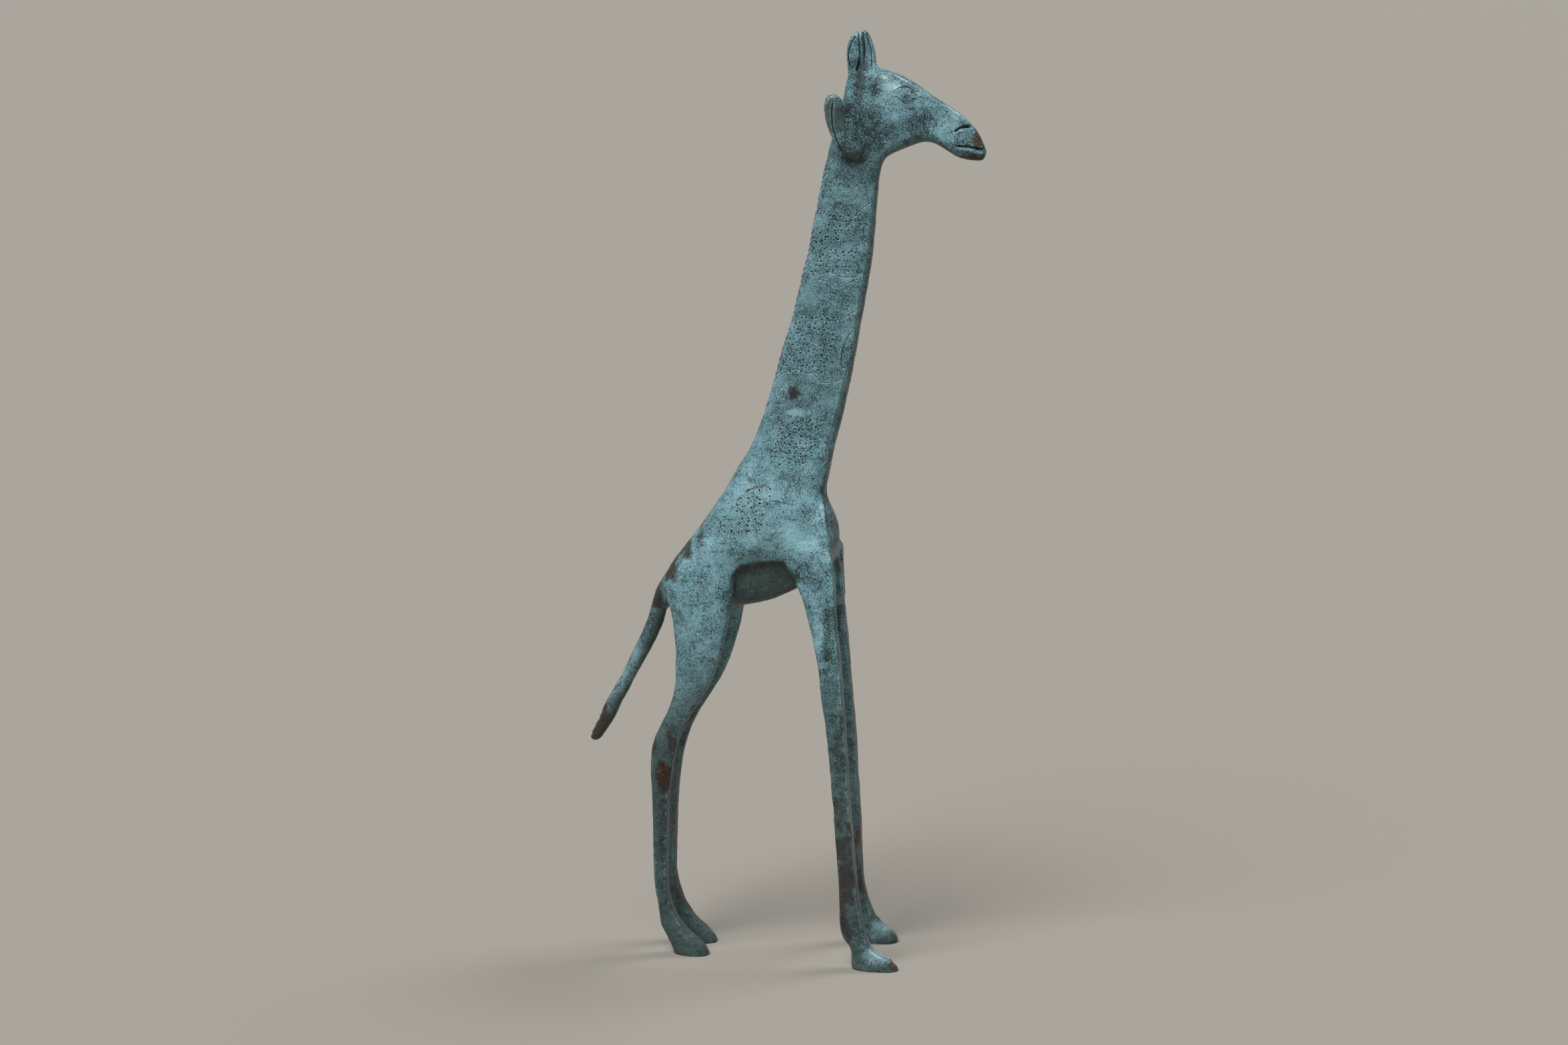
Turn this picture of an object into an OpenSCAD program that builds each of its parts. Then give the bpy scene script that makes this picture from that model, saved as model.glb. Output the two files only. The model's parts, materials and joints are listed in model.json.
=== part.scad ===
// Standing giraffe figure, cast in bronze from wax pieces formed one by one and joined.
//
// The figure faces +X, its left side is +Y, and it stands on the plane Z = 0. The origin
// is on that plane, at the middle of the outline of the whole figure.
//
// Every piece is a loft through flattened oval sections. A section runs from a first point
// to a second point in the X-Z plane and has a half width across, along Y.

/* [Whole figure] */
// Height from the soles to the tips of the horns
statue_height = 220; // [150:5:400]
// Factor on the width of body, neck and head, across the figure
body_fullness = 1; // [0.85:0.05:1.15]

/* [Stance] */
// From the middle of the figure to the middle of each front foot
front_foot_out = 11.6; // [9:0.2:14]
// From the middle of the figure to the middle of the right hind foot
hind_foot_out = 6.4; // [5.4:0.2:9]
// How much nearer to the middle the left hind foot stands
left_hind_step_in = 2; // [0:0.2:2.4]
// From the middle of the figure to the middle of a leg where it leaves the body
hip_out = 6.2; // [5.8:0.1:6.6]
// How far the left front leg is in front of the right one at the shoulder
left_front_lead = 0; // [0:0.1:1]
// How far the left front foot is behind the right one
left_front_lag = 1.2; // [0:0.1:1.5]
// How far the left hind leg is in front of the right one at the hip
left_hind_lead = 1.5; // [0:0.1:1.6]
// How far the left hind foot is behind the right one
left_hind_lag = 0.1; // [0:0.1:1]

/* [Horns and ears] */
// From the middle of the head to the middle of a horn, at its widest
horn_out = 2.6; // [2.3:0.1:3.2]
// How far the left horn stands in front of the right one
horn_stagger = 2.2; // [0:0.1:2.6]
// From the middle of the head to the tip of an ear
ear_out = 8.4; // [7.5:0.1:10]
// How much lower the tip of the left ear is
left_ear_droop = 4; // [0:0.5:5]

/* [Detail] */
// Points around one section
ring_points = 24; // [16:4:32]
// Sections added in each gap between the stations of a piece
rings_between = 2; // [1:1:2]

/* [Hidden] */

patina = "#6f9f9b";
dark_patina = "#4d6f6c";
worn_bronze = "#7a6a4a";

// Height of the figure that the stations below describe
drawn_height = 219.4;

// A station is [first x, first z, second x, second z, half width at the first point,
// half width at the second point, squareness]. Squareness 2 is an ellipse and 4 is
// nearly a rectangle. The first point is the lower or front one on the body, neck and
// head, and the rear one on a leg and the tail.

tail_root = [-28.0, 82.2, -31.6, 84.4, 2.0, 2.0, 2];
neck_base = [10.1, 113.4, -10.8, 117.2, 4.9, 4.8, 2.8];
neck_top = [22.4, 185.8, 9.8, 188.4, 3.3, 3.9, 2.9];

// From the tail root forward along the back, then round the chest to the neck
torso_stations = [
    tail_root,
    [-26.4, 83.4, -30.3, 87.8, 3.4, 3.2, 2.1],
    [-23.4, 84.2, -27.8, 92.0, 5.0, 5.0, 2.2],
    [-18.6, 84.2, -24.7, 96.6, 5.6, 6.8, 2.4],
    [-13.0, 83.6, -21.3, 101.2, 6.0, 8.0, 2.6],
    [-7.5, 84.4, -17.9, 105.7, 6.0, 8.4, 2.7],
    [-2.0, 86.0, -15.2, 109.6, 6.0, 8.4, 2.7],
    [3.4, 88.7, -13.6, 112.1, 6.0, 8.4, 2.6],
    [8.4, 92.0, -12.7, 113.8, 6.0, 8.2, 2.5],
    [11.8, 96.4, -12.1, 114.9, 6.0, 7.6, 2.5],
    [13.2, 101.4, -11.7, 115.7, 6.0, 6.8, 2.5],
    [12.2, 106.0, -11.3, 116.3, 6.0, 5.9, 2.5],
    [10.3, 110.2, -11.0, 116.8, 5.5, 5.3, 2.6],
    neck_base
];

neck_stations = [
    neck_base,
    [11.6, 120.5, -7.0, 124.0, 4.2, 4.5, 3.0],
    [13.4, 128.0, -4.0, 132.0, 3.7, 4.3, 3.2],
    [15.1, 136.0, -1.6, 140.0, 3.4, 4.2, 3.4],
    [16.7, 144.0, 0.5, 148.0, 3.3, 4.1, 3.4],
    [18.3, 152.0, 2.7, 156.0, 3.2, 4.0, 3.4],
    [19.6, 160.0, 4.7, 164.0, 3.1, 3.8, 3.4],
    [20.8, 168.0, 6.3, 172.0, 3.0, 3.7, 3.3],
    [21.6, 177.0, 7.9, 180.4, 3.0, 3.7, 3.1],
    neck_top
];

// From the top of the neck, round the throat, to the tip of the muzzle
head_stations = [
    neck_top,
    [22.9, 188.1, 10.8, 192.0, 3.5, 4.0, 2.8],
    [23.8, 189.7, 12.2, 197.0, 3.8, 4.1, 2.6],
    [25.0, 190.6, 13.9, 203.6, 4.0, 4.0, 2.7],
    [26.6, 191.4, 15.5, 209.8, 4.1, 3.8, 2.9],
    [28.6, 192.3, 20.2, 210.7, 4.2, 3.6, 2.9],
    [30.6, 193.1, 25.7, 209.5, 4.2, 3.5, 2.5],
    [32.8, 193.7, 30.4, 207.1, 3.7, 3.2, 2.4],
    [35.2, 193.3, 34.8, 204.3, 3.2, 2.7, 2.4],
    [37.8, 191.8, 38.6, 202.1, 2.9, 2.3, 2.4],
    [40.4, 190.4, 42.1, 199.7, 2.8, 2.1, 2.5],
    [43.2, 189.8, 44.9, 196.5, 2.7, 1.9, 2.5],
    [45.4, 189.7, 46.5, 193.1, 2.4, 1.6, 2.4],
    [46.3, 189.9, 47.0, 191.5, 1.6, 1.1, 2.2]
];

// Down from the body to the tip, with the rear edge first
tail_stations = [
    [-31.6, 84.4, -28.0, 82.2, 2.0, 2.0, 2],
    [-33.3, 79.2, -29.3, 77.6, 1.8, 1.8, 2],
    [-36.1, 72.4, -32.8, 71.0, 1.7, 1.7, 2],
    [-39.2, 66.0, -36.2, 64.8, 1.6, 1.6, 2],
    [-42.7, 59.6, -39.4, 58.6, 1.6, 1.6, 2],
    [-45.4, 54.2, -42.0, 53.4, 1.5, 1.5, 2],
    [-46.7, 51.2, -44.4, 50.2, 1.1, 1.1, 2],
    [-46.7, 50.0, -45.9, 49.8, 0.4, 0.4, 2]
];

// Down from the shoulder, with the rear edge first; the foot follows
front_leg_stations = [
    [4.6, 99.6, 11.8, 99.6, 2.7, 2.7, 2.4],
    [3.0, 96.6, 12.8, 96.4, 2.6, 2.6, 2.4],
    [3.4, 92.6, 13.0, 92.0, 2.5, 2.5, 2.6],
    [5.7, 87.0, 13.3, 86.4, 2.5, 2.5, 2.8],
    [8.2, 78.4, 14.2, 78.0, 2.4, 2.4, 3],
    [10.0, 67.0, 15.3, 67.0, 2.3, 2.3, 3],
    [11.7, 56.0, 16.3, 56.0, 2.3, 2.3, 3],
    [13.1, 42.0, 17.3, 42.0, 2.2, 2.2, 3],
    [14.4, 28.0, 18.3, 28.0, 2.2, 2.2, 3]
];

// The right foot has a long thin toe, and the left one is shorter and thicker
front_right_foot_stations = [
    [15.1, 17.0, 19.6, 17.4, 2.3, 2.3, 2.8],
    [15.2, 11.4, 20.8, 11.6, 2.6, 2.5, 2.4],
    [15.8, 8.0, 21.6, 8.4, 2.5, 2.4, 2.3],
    [17.4, 5.6, 22.7, 6.0, 2.3, 2.3, 2.3],
    [18.0, 4.0, 24.4, 4.2, 2.4, 2.5, 2.3],
    [18.0, 2.4, 26.9, 2.6, 2.5, 2.8, 2.3],
    [18.0, 1.1, 28.9, 1.1, 2.6, 2.9, 2.3],
    [18.1, 0, 29.6, 0, 2.5, 2.8, 2.3]
];

front_left_foot_stations = [
    [14.2, 17.0, 18.4, 17.0, 2.3, 2.3, 2.8],
    [14.5, 12.4, 19.4, 12.0, 2.6, 2.5, 2.4],
    [15.2, 8.4, 20.8, 8.0, 2.6, 2.5, 2.3],
    [16.4, 5.6, 22.3, 5.4, 2.4, 2.5, 2.3],
    [16.9, 3.8, 24.2, 3.8, 2.5, 2.8, 2.3],
    [17.0, 2.0, 26.3, 2.0, 2.6, 3.0, 2.3],
    [17.0, 0.9, 26.9, 0.9, 2.6, 3.0, 2.3],
    [17.1, 0, 26.8, 0, 2.5, 2.9, 2.3]
];

// Down from the hip to the sole, with the rear edge first
hind_leg_stations = [
    [-20.2, 98.4, -14.4, 98.6, 2.7, 2.7, 2.2],
    [-24.2, 94.2, -12.4, 94.6, 2.6, 2.6, 2.3],
    [-26.4, 87.8, -11.5, 88.2, 2.6, 2.6, 2.5],
    [-25.4, 80.4, -12.0, 80.8, 2.6, 2.6, 2.6],
    [-24.7, 73.4, -13.6, 74.2, 2.5, 2.5, 2.6],
    [-24.9, 66.4, -16.0, 67.2, 2.4, 2.4, 2.6],
    [-26.2, 60.4, -19.2, 61.2, 2.3, 2.3, 2.6],
    [-28.5, 55.4, -22.3, 56.2, 2.3, 2.3, 2.6],
    [-30.2, 51.0, -24.2, 51.6, 2.2, 2.2, 2.6],
    [-30.6, 45.6, -25.6, 46.0, 2.1, 2.1, 2.6],
    [-30.5, 37.0, -26.5, 37.0, 2.0, 2.0, 2.6],
    [-30.3, 27.0, -26.8, 27.0, 2.0, 2.0, 2.6],
    [-29.8, 17.0, -27.0, 17.4, 2.1, 2.1, 2.6],
    [-29.1, 11.6, -25.8, 12.0, 2.3, 2.3, 2.4],
    [-28.8, 7.6, -24.0, 8.4, 2.4, 2.4, 2.3],
    [-27.7, 5.0, -21.8, 5.8, 2.4, 2.5, 2.3],
    [-26.7, 3.2, -19.4, 3.8, 2.5, 2.7, 2.3],
    [-26.0, 1.4, -17.5, 1.6, 2.6, 2.9, 2.3],
    [-25.6, 0, -16.8, 0, 2.5, 2.8, 2.3]
];

// Up from the top of the head, with the front edge first
right_horn_stations = [
    [19.0, 210.0, 15.0, 209.8, 1.3, 1.3, 2],
    [18.7, 211.7, 14.9, 211.6, 1.2, 1.2, 2],
    [18.6, 213.7, 14.8, 213.6, 1.2, 1.2, 2],
    [18.4, 215.8, 15.0, 215.8, 1.2, 1.2, 2],
    [18.1, 217.8, 15.7, 217.6, 0.9, 0.9, 2],
    [17.7, 218.9, 16.6, 218.7, 0.5, 0.5, 2],
    [17.4, 219.2, 17.1, 219.1, 0.2, 0.2, 2]
];

left_horn_stations = [
    [19.5, 209.8, 15.2, 209.8, 1.3, 1.3, 2],
    [19.0, 211.7, 15.3, 211.6, 1.2, 1.2, 2],
    [18.7, 213.7, 15.1, 213.6, 1.2, 1.2, 2],
    [18.2, 216.0, 15.0, 216.0, 1.2, 1.2, 2],
    [17.3, 218.0, 15.1, 217.8, 0.9, 0.9, 2],
    [16.4, 219.1, 15.5, 218.9, 0.5, 0.5, 2],
    [16.0, 219.4, 15.8, 219.4, 0.2, 0.2, 2]
];

// Up from its root on the side of the head to the rounded tip, with the front edge first
ear_stations = [
    [18.2, 189.8, 15.2, 190.6, 0.9, 0.9, 2.2],
    [19.2, 192.4, 13.8, 192.6, 1.2, 1.2, 2.2],
    [18.7, 195.2, 12.5, 195.0, 1.3, 1.3, 2.3],
    [17.7, 197.8, 11.6, 197.4, 1.3, 1.2, 2.4],
    [16.6, 200.4, 10.9, 200.0, 1.2, 1.1, 2.4],
    [15.5, 203.0, 10.7, 202.6, 1.1, 1.0, 2.4],
    [14.6, 204.5, 11.1, 204.2, 0.8, 0.8, 2.3],
    [13.7, 205.1, 12.0, 205.0, 0.4, 0.4, 2.2]
];

// The body is narrow at the belly and widens to the flank between these heights
belly_top_z = 93;
flank_z = 100;
// Widest half width of the belly and of the flank
belly_half = 6.0;
flank_half = 8.4;
// Height of the underside of the body between the front legs and between the hind legs
front_underside_z = 88;
hind_underside_z = 83.2;

// Height at which a leg starts to lean out
hip_z = 96;
// Heights between which the lead of a left leg changes to its lag
lead_z = 90;
lag_z = 30;

// Where the horns start, stand widest apart and end
horn_seat_z = 209.8;
horn_wide_z = 214;
horn_top_z = 219.4;
// From the middle of the head to the middle of a horn at its root
horn_root_out = 1.25;
// How far the tip of a horn leans back in
horn_tip_in = 0.7;

// Half width of the head where the ears lie on it
head_side = 4.1;
ear_root_z = 190;
ear_top_z = 205;
// From the side of the head to the middle of an ear at its root
ear_root_out = 1.1;
// Below 1, an ear turns out early and then rises straighter
ear_curl = 0.8;

function lerp(a, b, t) = a + (b - a) * t;
function clamp01(t) = max(0, min(1, t));
function smooth(t) = let (c = clamp01(t)) c * c * (3 - 2 * c);
function signed_power(v, e) = sign(v) * pow(abs(v), e);

// A smooth curve through b and c, with a and d as their outer neighbours
function through(a, b, c, d, t) =
    b + (c - a) * t / 2 + (2 * a - 5 * b + 4 * c - d) * t * t / 2
    + (3 * b - a - 3 * c + d) * t * t * t / 2;

// Stations with more of them filled in between, along smooth curves
function filled(stations) =
    let (last = len(stations) - 1, steps = rings_between + 1)
    [for (i = [0 : last - 1], k = [0 : steps - 1])
        through(stations[max(i - 1, 0)], stations[i], stations[i + 1],
                stations[min(i + 2, last)], k / steps),
     stations[last]];

// How far the body has widened from belly to flank at height z
function widened(z) = smooth((z - belly_top_z) / (flank_z - belly_top_z));

// Half width of the body's widest section at height z, zero at its underside
function body_side(z, underside_z) =
    let (down = clamp01((belly_top_z - z) / (belly_top_z - underside_z)))
    lerp(belly_half, flank_half, widened(z)) * pow(1 - pow(down, 3), 1 / 3);

// Points of one section around the middle plane, each as [x, y, z]. The half width goes
// from that of the first point to that of the second, on the body by height.
function section(s, by_height = false) =
    [for (i = [0 : ring_points - 1])
        let (a = 360 * i / ring_points,
             t = (1 + signed_power(cos(a), 2 / s[6])) / 2,
             z = lerp(s[1], s[3], t),
             half = lerp(s[4], s[5], by_height ? widened(z) : smooth(t)))
        [lerp(s[0], s[2], t), signed_power(sin(a), 2 / s[6]) * half, z]];

// Solid through a list of sections that all have ring_points points
module skin(sections) {
    rows = len(sections);
    ring = ring_points;
    points = [for (s = sections, p = s) p];
    sides = [for (r = [0 : rows - 2], i = [0 : ring - 1])
        let (j = (i + 1) % ring, a = r * ring, b = (r + 1) * ring)
        each [[a + i, b + i, b + j], [a + i, b + j, a + j]]];
    first_cap = [for (i = [0 : ring - 1]) i];
    last_cap = [for (i = [ring - 1 : -1 : 0]) (rows - 1) * ring + i];
    polyhedron(points = points, faces = concat(sides, [first_cap, last_cap]));
}

// A leg: side is -1 for the right and 1 for the left. Its inner side lies on the body.
module leg(stations, side, foot_out, underside_z, lead = 0, lag = 0) {
    skin([for (s = filled(stations))
        let (y = lerp(hip_out, foot_out, clamp01(1 - s[1] / hip_z)),
             shift = lerp(-lag, lead, clamp01((s[1] - lag_z) / (lead_z - lag_z))),
             inner = y - s[4],
             outer = y + s[4])
        [for (p = section(s))
            let (seat = max(inner, body_side(p[2], underside_z) * body_fullness))
            [p[0] + shift, side * lerp(seat, outer, (1 + side * p[1] / s[4]) / 2), p[2]]]]);
}

module horn(stations, side, lead) {
    skin([for (s = filled(stations))
        let (up = smooth((s[1] - horn_seat_z) / (horn_wide_z - horn_seat_z)),
             over = clamp01((s[1] - horn_wide_z) / (horn_top_z - horn_wide_z)),
             y = lerp(horn_root_out, horn_out, up) - horn_tip_in * over)
        [for (p = section(s)) [p[0] + lead, side * y + p[1], p[2]]]]);
}

// An ear, whose inner side lies on the side of the head
module ear(side, droop = 0) {
    skin([for (s = filled(ear_stations))
        let (up = clamp01((s[1] - ear_root_z) / (ear_top_z - ear_root_z)),
             y = lerp(head_side + ear_root_out, ear_out, pow(up, ear_curl)),
             seat = max(y - s[4], head_side * body_fullness))
        [for (p = section(s))
            [p[0], side * lerp(seat, y + s[4], (1 + side * p[1] / s[4]) / 2),
             p[2] - droop * up]]]);
}

module at_size() {
    scale(statue_height / drawn_height) children();
}

module torso() {
    color(patina) at_size()
        skin([for (s = filled(torso_stations))
            [for (p = section(s, by_height = true)) [p[0], p[1] * body_fullness, p[2]]]]);
}

module neck() {
    color(patina) at_size()
        skin([for (s = filled(neck_stations))
            [for (p = section(s)) [p[0], p[1] * body_fullness, p[2]]]]);
}

module head() {
    color(patina) at_size()
        skin([for (s = filled(head_stations))
            [for (p = section(s)) [p[0], p[1] * body_fullness, p[2]]]]);
}

module tail() {
    color(dark_patina) at_size()
        skin([for (s = filled(tail_stations)) section(s)]);
}

module left_horn() {
    color(patina) at_size() horn(left_horn_stations, 1, horn_stagger);
}

module right_horn() {
    color(patina) at_size() horn(right_horn_stations, -1, 0);
}

module left_ear() {
    color(worn_bronze) at_size() ear(1, left_ear_droop);
}

module right_ear() {
    color(worn_bronze) at_size() ear(-1);
}

module front_left_leg() {
    color(dark_patina) at_size()
        leg(concat(front_leg_stations, front_left_foot_stations), 1, front_foot_out,
            front_underside_z, left_front_lead, left_front_lag);
}

module front_right_leg() {
    color(dark_patina) at_size()
        leg(concat(front_leg_stations, front_right_foot_stations), -1, front_foot_out,
            front_underside_z);
}

module hind_left_leg() {
    color(dark_patina) at_size()
        leg(hind_leg_stations, 1, hind_foot_out - left_hind_step_in, hind_underside_z,
            left_hind_lead, left_hind_lag);
}

module hind_right_leg() {
    color(dark_patina) at_size()
        leg(hind_leg_stations, -1, hind_foot_out, hind_underside_z);
}

torso();
neck();
head();
left_horn();
right_horn();
left_ear();
right_ear();
tail();
front_left_leg();
front_right_leg();
hind_left_leg();
hind_right_leg();
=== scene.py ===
import itertools
import json
import math

import bmesh
import bpy
import numpy as np
import openvdb as vdb
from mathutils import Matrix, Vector


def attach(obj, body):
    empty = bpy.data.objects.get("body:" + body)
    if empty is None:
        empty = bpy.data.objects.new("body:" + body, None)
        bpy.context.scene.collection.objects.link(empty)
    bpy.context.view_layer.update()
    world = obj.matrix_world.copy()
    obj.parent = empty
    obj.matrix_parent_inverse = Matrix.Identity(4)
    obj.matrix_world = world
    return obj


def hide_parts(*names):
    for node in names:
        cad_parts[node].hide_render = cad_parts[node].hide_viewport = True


# Bronze giraffe figure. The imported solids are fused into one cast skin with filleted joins. The skin gets
# its punched dots, engraved lines, nicks and edges as real relief, and is then cut back into one closed
# piece for each solid. Lengths are in millimetres in the row frame, except where Blender is given metres.

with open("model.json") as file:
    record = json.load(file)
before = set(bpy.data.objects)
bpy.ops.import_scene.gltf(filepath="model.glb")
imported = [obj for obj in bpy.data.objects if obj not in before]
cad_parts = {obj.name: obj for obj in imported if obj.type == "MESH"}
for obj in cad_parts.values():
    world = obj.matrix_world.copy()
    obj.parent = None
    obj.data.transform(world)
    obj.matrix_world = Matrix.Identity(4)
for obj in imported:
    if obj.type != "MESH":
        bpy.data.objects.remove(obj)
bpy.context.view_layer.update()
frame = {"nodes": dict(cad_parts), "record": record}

MM = 0.001
RIGHT, LEFT = -1, 1                 # sides of the animal, as signs of Y
BOTH = (RIGHT, LEFT)

TRUNK = ("torso", "neck", "head", "tail")
FILLET = {                          # how softly each limb runs into the trunk
    "front_left_leg": 4.0, "front_right_leg": 4.0, "hind_left_leg": 4.5, "hind_right_leg": 4.5,
    "left_horn": 2.0, "right_horn": 2.0, "left_ear": 2.6, "right_ear": 2.6,
}


# ---------------------------------------------------------------------------------- the fused skin

VOXEL = 0.4                         # spacing of the distance samples
BAND = 12                           # samples known on each side of a surface
FAR = VOXEL * BAND
LATTICE = vdb.createLinearTransform(voxelSize=VOXEL)
SEAM = 0.15                         # a face this near another solid lies inside the casting
RELAX_ROUNDS = 4                    # how often the skin is evened out along its own surface
RELAX_SHARE = 0.5                   # how far a point moves towards its neighbours in one round
JOINTS = (                          # where the legs melt into the body, as X, Z and how widely
    (3.5, 98.0, 7.5), (8.5, 99.5, 4.5), (-16.5, 98.5, 9.0),
)
JOINT_ROUNDS = 130
JOINT_SHARE = 0.6
CHEST = (                           # a squared breast, as Z, front X and half width
    (111.5, 9.3, 2.2), (108.5, 10.2, 4.4), (106, 10.7, 5.8), (103, 11.4, 6.5), (100, 12.1, 7.1),
    (97, 12.5, 7.6), (95, 11.8, 7.4),
)
SHOULDER = (                        # the same for the block on each side, above a front leg
    (99, 11.5, 7.1), (96, 12.3, 7.8), (93, 12.9, 8.3), (90, 13.1, 8.5), (86.5, 13.2, 8.6),
)
CHEST_REAR = 5.0                    # X where the breast's block ends inside the body
SHOULDER_REAR = 7.0
CHEST_FILLET = 1.6


def read(items, key, width, kind=np.float32):
    """One property of every item of a Blender collection, as an array."""
    values = np.empty(len(items) * width, kind)
    items.foreach_get(key, values)
    return values.reshape(-1, width) if width > 1 else values


def solid_of(node):
    """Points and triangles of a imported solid."""
    mesh = frame["nodes"][node].data
    mesh.calc_loop_triangles()
    points = read(mesh.vertices, "co", 3) / MM
    return points, read(mesh.loop_triangles, "vertices", 3, np.int32).astype(np.uint32)


class Field:
    """Signed distance to a closed surface, sampled on the lattice, negative inside."""

    def __init__(self, points, triangles):
        self.low = np.floor(points.min(0) / VOXEL).astype(int) - BAND - 1
        high = np.ceil(points.max(0) / VOXEL).astype(int) + BAND + 2
        grid = vdb.FloatGrid.createLevelSetFromPolygons(
            points, triangles=triangles, transform=LATTICE, halfWidth=BAND)
        self.values = np.empty(high - self.low, np.float32)
        grid.copyToArray(self.values, ijk=tuple(int(i) for i in self.low))

    def at(self, points):
        """The distance at each point, or FAR away from the samples."""
        spot = points / VOXEL - self.low
        cell = np.floor(spot).astype(int)
        known = np.all((cell >= 0) & (cell < np.array(self.values.shape) - 1), axis=1)
        cell, part = cell[known], (spot - cell)[known]
        total = np.zeros(len(cell), np.float32)
        for corner in itertools.product((0, 1), repeat=3):
            weight = np.prod(np.where(corner, part, 1 - part), axis=1)
            total += weight * self.values[tuple((cell + corner).T)]
        found = np.full(len(points), FAR, np.float32)
        found[known] = total
        return found


def trunk_field(solids, fields):
    """One field for the solids of the trunk, without the faces where they meet inside."""
    points, triangles, count = [], [], 0
    for name in TRUNK:
        own_points, own = solids[name]
        centres = own_points[own].mean(axis=1)
        hidden = np.zeros(len(own), bool)
        for other in TRUNK:
            if other != name:
                hidden |= fields[other].at(centres) < SEAM
        points.append(own_points)
        triangles.append(own[~hidden] + count)
        count += len(own_points)
    return Field(np.concatenate(points), np.concatenate(triangles).astype(np.uint32))


def soft_union(a, b, radius):
    """Union of two fields with a fillet, which fades out where the surfaces run parallel."""
    slopes_a, slopes_b = np.gradient(a, VOXEL), np.gradient(b, VOXEL)
    turn = sum(p * q for p, q in zip(slopes_a, slopes_b))
    reach = radius * np.clip(1 - turn, 0.01, 1)
    overlap = np.clip(1 - np.abs(a - b) / reach, 0, 1)
    near = np.minimum(np.abs(a), np.abs(b)) < FAR - 2 * VOXEL
    return np.minimum(a, b) - np.where(near, reach * overlap * overlap / 4, 0)


def fused_field(solids, fields):
    """The whole figure as one field."""
    whole = trunk_field(solids, fields)
    parts = [whole] + [fields[name] for name in FILLET]
    low = np.min([f.low for f in parts], axis=0)
    high = np.max([f.low + f.values.shape for f in parts], axis=0)
    values = np.full(high - low, FAR, np.float32)
    values[window(whole, low)] = whole.values
    for name, radius in FILLET.items():
        here = window(fields[name], low)
        values[here] = soft_union(values[here], fields[name].values, radius)
    blocks = [block_field(CHEST, CHEST_REAR, -1, 1)]
    blocks += [block_field(SHOULDER, SHOULDER_REAR, *sorted((side, 0.5 * side))) for side in BOTH]
    for block in blocks:
        here = window(block, low)
        values[here] = soft_union(values[here], block.values, CHEST_FILLET)
    whole.low, whole.values = low, values
    return whole


def block_field(sections, rear, low, high):
    """A block whose sections are rectangles, each side's half width running from low to high."""
    corners, faces = [], []
    for z, front, width in sections:
        a, b = low * width, high * width
        corners += [(rear, a, z), (front, a, z), (front, b, z), (rear, b, z)]
    for i in range(0, len(corners) - 4, 4):
        for j in range(4):
            p, q = i + j, i + (j + 1) % 4
            faces += [(p, p + 4, q), (q, p + 4, q + 4)]
    last = len(corners) - 4
    faces += [(0, 1, 2), (0, 2, 3), (last, last + 2, last + 1), (last, last + 3, last + 2)]
    return Field(np.array(corners, np.float32), np.array(faces, np.uint32))


def window(field, low):
    """Where a field's samples lie among those that start at low."""
    start = field.low - low
    return tuple(slice(s, s + n) for s, n in zip(start, field.values.shape))


def normals_of(points, quads):
    """Unit normals at the points of a mesh of quads."""
    a, b, c, d = (points[quads[:, i]] for i in range(4))
    across = np.cross(c - a, d - b)
    total = np.stack([np.bincount(quads.ravel(), np.repeat(across[:, i], 4), len(points))
                      for i in range(3)], axis=1)
    return total / np.linalg.norm(total, axis=1, keepdims=True)


def neighbour_mean(values, edges, count):
    """Mean of each point's neighbours along the edges."""
    a, b = edges.T
    shares = np.bincount(edges.ravel(), minlength=count)
    columns = [np.bincount(a, column[b], count) + np.bincount(b, column[a], count)
               for column in values.reshape(count, -1).T]
    return (np.stack(columns, axis=1) / shares[:, None]).reshape(values.shape)


def skin_of(field):
    """Points and quads of a field's surface, evened out along it."""
    grid = vdb.FloatGrid(FAR)
    grid.transform = LATTICE
    grid.copyFromArray(field.values, ijk=tuple(int(i) for i in field.low))
    points, quads = grid.convertToQuads(0.0)
    points, quads = points.astype(np.float64), quads.astype(np.int64)
    if (np.einsum("ij,ij->i", normals_of(points, quads)[:50], slope_at(field, points[:50])) < 0).all():
        quads = quads[:, ::-1]
    sides = np.concatenate([quads[:, [i, (i + 1) % 4]] for i in range(4)])
    edges = np.unique(np.sort(sides, axis=1), axis=0)
    for _ in range(RELAX_ROUNDS):
        points += RELAX_SHARE * (neighbour_mean(points, edges, len(points)) - points)
        points -= normals_of(points, quads) * field.at(points)[:, None]
    share = np.zeros(len(points))
    for x, z, radius in JOINTS:
        away = np.hypot(points[:, 0] - x, points[:, 2] - z) / radius
        share = np.maximum(share, JOINT_SHARE * (1 - fade(away, 0.5, 1.0)))
    for _ in range(JOINT_ROUNDS):
        points += share[:, None] * (neighbour_mean(points, edges, len(points)) - points)
    points += RELAX_SHARE * (neighbour_mean(points, edges, len(points)) - points)
    return points, quads


def slope_at(field, points):
    """Which way the distance grows."""
    steps = np.eye(3) * VOXEL
    return np.stack([field.at(points + s) - field.at(points - s) for s in steps], axis=1)


# ------------------------------------------------------------------------------- labels and meshes

def labels_of(points, quads, fields):
    """For each quad the index of the solid that it belongs to, each solid's share in one patch."""
    names = list(fields)
    centres = points[quads].mean(axis=1)
    label = np.argmin([fields[n].at(centres) for n in names], axis=0)
    return tidy_labels(label, quads)


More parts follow.
